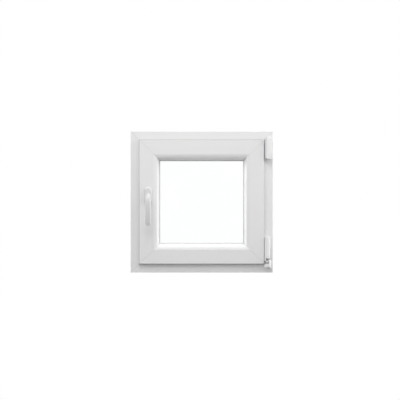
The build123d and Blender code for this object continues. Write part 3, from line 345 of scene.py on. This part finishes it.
def glass_material():
    """Clear float glass that lets lamp light pass as well as the view."""
    material, tree, shader = new_material("clear_float_glass")
    shader.inputs["Roughness"].default_value = 0.0
    shader.inputs["IOR"].default_value = GLASS_IOR
    shader.inputs["Transmission Weight"].default_value = 1.0
    place = tree.nodes.new("ShaderNodeTexCoord")
    waves = tree.nodes.new("ShaderNodeTexNoise")
    waves.inputs["Scale"].default_value = GLASS_WAVES
    tree.links.new(place.outputs["Object"], waves.inputs["Vector"])
    tree.links.new(mixed_colour(tree, waves.outputs["Fac"], GLASS_TINT, WHITE), shader.inputs["Base Color"])
    path = tree.nodes.new("ShaderNodeLightPath")
    clear = tree.nodes.new("ShaderNodeBsdfTransparent")
    mixed_surface(
        tree, path.outputs["Is Shadow Ray"], shader.outputs["BSDF"], clear.outputs["BSDF"],
        "Material Output")
    return material


def paint(names, material):
    """Give a finish to CAD pieces."""
    for name in names:
        nodes[name].data.materials.clear()
        nodes[name].data.materials.append(material)


def new_mesh(name, shape):
    """Mesh made from a bmesh, which is then freed."""
    mesh = bpy.data.meshes.new(name)
    shape.to_mesh(mesh)
    shape.free()
    return mesh


def new_object(name, data):
    """Object in the scene, at the origin."""
    thing = bpy.data.objects.new(name, data)
    bpy.context.scene.collection.objects.link(thing)
    return thing


def new_piece(name, shape, material, beside):
    """Piece made from a bmesh, on the body of the CAD node that it sits beside."""
    mesh = new_mesh(name, shape)
    mesh.shade_smooth()
    mesh.set_sharp_from_angle(angle=SHARP)
    mesh.materials.append(material)
    piece = new_object(name, mesh)
    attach(piece, body_of(nodes[beside])[0])
    return piece


def loose_parts(shape):
    """Corners of each loose part of a bmesh."""
    seen = set()
    parts = []
    for first in shape.verts:
        if first in seen:
            continue
        seen.add(first)
        part = [first]
        for corner in part:
            for edge in corner.link_edges:
                other = edge.other_vert(corner)
                if other not in seen:
                    seen.add(other)
                    part.append(other)
        parts.append(part)
    return parts


def screw_places(name):
    """Top centre, outward direction, head radius and height, shank radius and length of each CAD screw."""
    shape = bmesh.new()
    shape.from_mesh(nodes[name].data)
    bmesh.ops.remove_doubles(shape, verts=shape.verts, dist=SAME_PLACE)
    places = []
    for screw in loose_parts(shape):
        low = Vector(min(corner.co[k] for corner in screw) for k in range(3))
        high = Vector(max(corner.co[k] for corner in screw) for k in range(3))
        axis = max(range(3), key=lambda k: high[k] - low[k])
        line = Vector((0, 0, 0))
        line[axis] = 1
        middle = (low + high) / 2
        long = high[axis] - low[axis]
        spots = [corner.co - middle for corner in screw]
        reach = [(spot.dot(line), spot.cross(line).length) for spot in spots]
        head_r = max(r for along, r in reach)
        head = [along for along, r in reach if r > RIM_OF_HEAD_RADIUS * head_r]
        out = line if sum(head) > 0 else -line
        head_t = long / 2 - min(abs(along) for along in head)
        shank_r = max(r for along, r in reach if along * sum(head) < 0)
        places.append((middle + out * long / 2, out, head_r, head_t, shank_r, long))
    shape.free()
    return places


def cross_screw(head_r, head_t, shank_r, long):
    """Pan-head screw with a cross recess and a rolled thread, its head's top at z 0 and its tip down."""
    shape = bmesh.new()
    bmesh.ops.create_grid(shape, x_segments=HEAD_CELLS, y_segments=HEAD_CELLS, size=head_r)
    half_cell = head_r / HEAD_CELLS
    recess = []
    for face in shape.faces:
        across, along = sorted(abs(c) for c in face.calc_center_median().xy)
        if across < half_cell and along < RECESS_OF_HEAD_RADIUS * head_r:
            recess.append(face)
    # The square grid becomes a domed disc
    for corner in shape.verts:
        far = corner.co.xy.length
        if far > 0:
            corner.co *= max(abs(corner.co.x), abs(corner.co.y)) / far
        corner.co.z = -CROWN_OF_HEAD_HEIGHT * head_t * (corner.co.xy.length / head_r) ** 2
    bmesh.ops.inset_region(
        shape, faces=recess, thickness=TAPER_OF_HALF_CELL * half_cell, depth=-RECESS_OF_HEAD_HEIGHT * head_t)
    # The disc's rim goes down ring by ring
    rings = [(head_r, -head_t), (shank_r, -head_t)]
    for turn in range(int((long - head_t) / THREAD_PITCH - 1)):
        top = -head_t - (turn + 0.5) * THREAD_PITCH
        rings += [(ROOT_OF_SHANK_RADIUS * shank_r, top), (shank_r, top - THREAD_PITCH / 2)]
    rings.append((TIP_OF_SHANK_RADIUS * shank_r, -long))
    rim = [edge for edge in shape.edges if edge.is_boundary]
    for radius, z in rings:
        grown = bmesh.ops.extrude_edge_only(shape, edges=rim)["geom"]
        rim = [part for part in grown if isinstance(part, bmesh.types.BMEdge) and part.is_boundary]
        for corner in {end for edge in rim for end in edge.verts}:
            corner.co.xy = corner.co.xy.normalized() * radius
            corner.co.z = z
    bmesh.ops.contextual_create(shape, geom=rim)
    bmesh.ops.recalc_face_normals(shape, faces=shape.faces)
    return shape


def fit_screws(name, material):
    """Recessed screws in place of a CAD node's plain ones."""
    whole = bmesh.new()
    for top, out, head_r, head_t, shank_r, long in screw_places(name):
        screw = cross_screw(head_r, head_t, shank_r, long)
        turn = out.to_track_quat("Z", "Y").to_matrix().to_4x4()
        bmesh.ops.transform(screw, matrix=Matrix.Translation(top) @ turn, verts=screw.verts)
        mould = new_mesh("screw_mould", screw)
        whole.from_mesh(mould)
        bpy.data.meshes.remove(mould)
    piece = new_piece(name + "_recessed", whole, material, name)
    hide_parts(name)


def gasket_lip(material):
    """Lip of the sash gasket that shows beyond the sash on the handle side, the top and the bottom; its dark
    grey line is partly painted shade along the sash's edge.
    """
    columns = (SASH_LOW.x - LIP_BESIDE, SASH_LOW.x + LIP_INSIDE, SASH_HIGH.x - LIP_STOP)
    rows = (
        SASH_LOW.z - LIP_ABOVE, SASH_LOW.z + LIP_INSIDE,
        SASH_HIGH.z - LIP_INSIDE, SASH_HIGH.z + LIP_ABOVE)
    wide, high = len(columns) - 1, len(rows) - 1
    shape = bmesh.new()
    bmesh.ops.create_grid(shape, x_segments=wide, y_segments=high, size=0.5)
    # The grid's lines go to the columns and rows, and its largest cell is the opening
    for corner in shape.verts:
        column, row = round((corner.co.x + 0.5) * wide), round((corner.co.y + 0.5) * high)
        corner.co = (columns[column], FRAME_LOW.y - LIP_FRONT, rows[row])
    opening = max(shape.faces, key=lambda face: face.calc_area())
    bmesh.ops.delete(shape, geom=[opening], context="FACES")
    grown = bmesh.ops.extrude_face_region(shape, geom=shape.faces[:])["geom"]
    back = [part for part in grown if isinstance(part, bmesh.types.BMVert)]
    bmesh.ops.translate(shape, verts=back, vec=(0, LIP_THICK, 0))
    bmesh.ops.recalc_face_normals(shape, faces=shape.faces)
    corners = [edge for edge in shape.edges if edge.calc_face_angle(0) > LIP_CORNER]
    bmesh.ops.bevel(
        shape, geom=corners, offset=LIP_ROUND, offset_type="OFFSET", affect="EDGES",
        segments=LIP_ROUND_STEPS, profile=0.5, material=-1)
    new_piece("sash_seal_lip", shape, material, "sash_seal")


def floor_material():
    """Pale floor that the camera sees as white, with the object's shadow near its foot."""
    material, tree, shader = new_material("studio_floor")
    shader.inputs["Base Color"].default_value = (*FLOOR_GREY, 1)
    shader.inputs["Roughness"].default_value = FLOOR_ROUGHNESS
    shader.inputs["Specular IOR Level"].default_value = 0.0
    place = tree.nodes.new("ShaderNodeTexCoord")
    away = tree.nodes.new("ShaderNodeVectorMath")
    away.operation = "LENGTH"
    tree.links.new(place.outputs["Object"], away.inputs[0])
    share = smooth_fade(tree, away.outputs["Value"], *GLOW_FADE, GLOW_SHARE, 1)
    strength = smooth_fade(tree, away.outputs["Value"], *GLOW_FADE, GLOW_STRENGTH, 1)
    glow = tree.nodes.new("ShaderNodeEmission")
    tree.links.new(strength, glow.inputs["Strength"])
    mask = math_node(tree, "MULTIPLY", backdrop_mask(tree), share)
    mixed_surface(tree, mask, shader.outputs["BSDF"], glow.outputs["Emission"], "Material Output")
    return material


def stage_floor():
    """Floor under the object."""
    shape = bmesh.new()
    bmesh.ops.create_grid(shape, x_segments=1, y_segments=1, size=FLOOR_HALF)
    bmesh.ops.translate(shape, verts=shape.verts, vec=(0, 0, -FLOOR_DROP))
    mesh = new_mesh("studio_floor", shape)
    mesh.materials.append(floor_material())
    floor = new_object("studio_floor", mesh)


def studio_world():
    """World that lights the object evenly and looks white."""
    world = bpy.data.worlds.new("studio")
    world.use_nodes = True
    tree = world.node_tree
    fill = tree.nodes["Background"]
    fill.inputs["Color"].default_value = (*WHITE, 1)
    fill.inputs["Strength"].default_value = WORLD_STRENGTH
    white = tree.nodes.new("ShaderNodeBackground")
    white.inputs["Color"].default_value = (*WHITE, 1)
    white.inputs["Strength"].default_value = 1.0
    mixed_surface(
        tree, backdrop_mask(tree), fill.outputs["Background"], white.outputs["Background"], "World Output")
    bpy.context.scene.world = world


def softbox(name, at, size, watts):
    """Square lamp that the camera doesn't see."""
    lamp = bpy.data.lights.new(name, "AREA")
    lamp.size = size
    lamp.energy = watts
    holder = new_object(name, lamp)
    holder.location = at
    holder.rotation_euler = (Vector(LAMP_AIM) - Vector(at)).to_track_quat("-Z", "Y").to_euler()
    holder.visible_camera = False


def photo_camera():
    """Camera square on to the window, framed as the photograph is."""
    per_px = (FRAME_HIGH.x - FRAME_LOW.x) / FRAME_WIDE_PX
    away = per_px * IMAGE_PX * LENS_MM / SENSOR_MM
    camera = new_object("camera", bpy.data.cameras.new("camera"))
    camera.data.lens = LENS_MM
    camera.data.sensor_width = SENSOR_MM
    camera.location = (
        (FRAME_LOW.x + FRAME_HIGH.x) / 2 - (FRAME_CENTRE_PX[0] - IMAGE_PX / 2) * per_px,
        FRAME_LOW.y - away,
        MID_HEIGHT + (FRAME_CENTRE_PX[1] - IMAGE_PX / 2) * per_px)
    camera.rotation_euler = (math.pi / 2, 0, 0)
    bpy.context.scene.camera = camera


# Finishes of the CAD pieces
GRAIN = grain_group()
SEAM = seam_group()
paint(LEVEL_RAILS, finish_material(
    "white_pvc_level", PVC_WHITE, PVC_SHADE, stretch=(DIE_LINES, 1, 1), seam=PVC_SEAM, **PVC_SURFACE))
paint(UPRIGHT_RAILS, finish_material(
    "white_pvc_upright", PVC_WHITE, PVC_SHADE, stretch=(1, 1, DIE_LINES), seam=PVC_SEAM, **PVC_SURFACE))
paint(GASKETS, finish_material("grey_gasket", GASKET_GREY, GASKET_SHADE, **GASKET_SURFACE))
paint(CAPS, finish_material("white_cap", CAP_WHITE, PVC_WHITE, **CAP_SURFACE))
# The handle's coat is darker than its white: painted shade that stands in for the lever's shading
paint(COATED, finish_material("white_powder_coat", COAT_WHITE_WITH_PAINTED_SHADE, COAT_DRIFT_WITH_PAINTED_SHADE, **COAT_SURFACE))
paint(REINFORCEMENTS, finish_material("galvanised_steel", GALVANISED, GALVANISED_SHADE, **STEEL_SURFACE))
paint(PANES, glass_material())
paint(SPACERS, finish_material("bare_aluminium", ALUMINIUM, ALUMINIUM_SHADE, **SPACER_SURFACE))
paint(SEALANTS, finish_material("black_sealant", SEALANT_BLACK, SEALANT_SHADE, **SEALANT_SURFACE))
paint(PACKERS, finish_material("grey_packer", PACKER_GREY, PACKER_SHADE, **PACKER_SURFACE))
silver_zinc = finish_material("silver_zinc", ZINC, ZINC_SHADE, **ZINC_SURFACE)
paint(HARDWARE, silver_zinc)

# Small fittings
for screws in SCREWS:
    fit_screws(screws, silver_zinc)
# The lip's dark grey is partly painted shade: a real gasket lip, darkened to stand in for the shade line
# along the sash's edge
gasket_lip(finish_material("grey_gasket_lip_and_painted_shade", LIP_PAINTED_SHADE_GREY, LIP_PAINTED_SHADE_DRIFT, **GASKET_SURFACE))

# Studio and camera
bpy.context.scene.view_settings.view_transform = "Standard"
stage_floor()
studio_world()
for lamp_name, (place, width, power) in LAMPS.items():
    softbox(lamp_name, place, width, power)
photo_camera()
